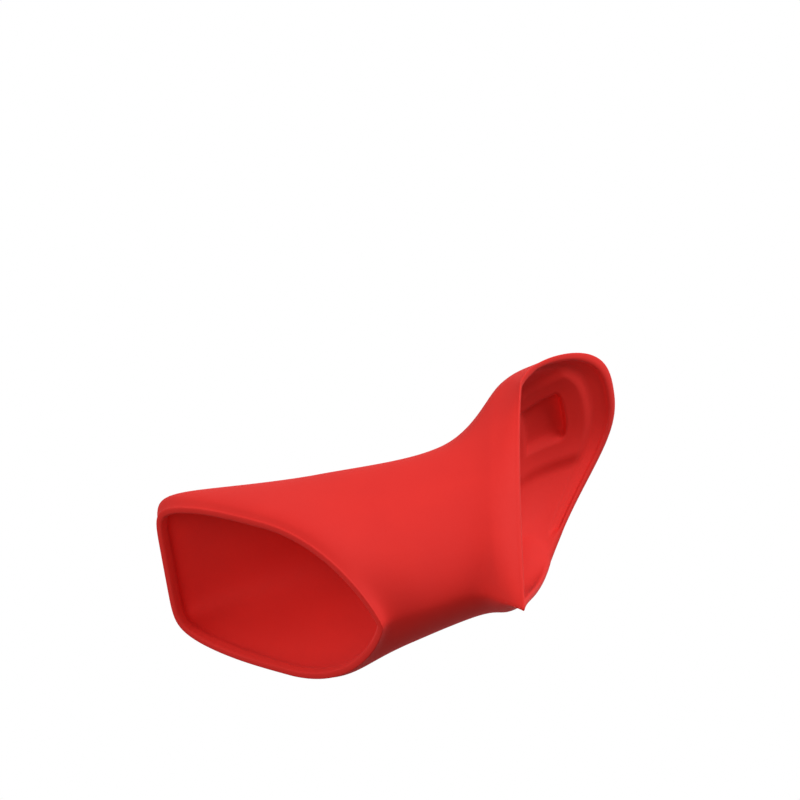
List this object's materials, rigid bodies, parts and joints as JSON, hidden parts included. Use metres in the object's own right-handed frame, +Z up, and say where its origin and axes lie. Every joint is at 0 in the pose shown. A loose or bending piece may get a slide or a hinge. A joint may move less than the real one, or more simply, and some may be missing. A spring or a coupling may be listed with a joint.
{
  "type": "brake lever hood",
  "caption": "Moulded rubber hood for a drop-bar brake lever: an open sleeve with a slanted rear mouth, a narrow grip, and a horn around a tall front mouth.",
  "frame": {"origin": "centre of the rear mouth, on the plane of symmetry", "axes": "+X forward along the lever body towards the front mouth, +Z up towards the horn, Y = 0 the plane of symmetry"},
  "size_m": [0.0999, 0.044, 0.0926],
  "materials": {
    "red_rubber": "matte"
  },
  "bodies": {
    "root": {"hood_sleeve": "red_rubber"}
  },
  "joints": []
}
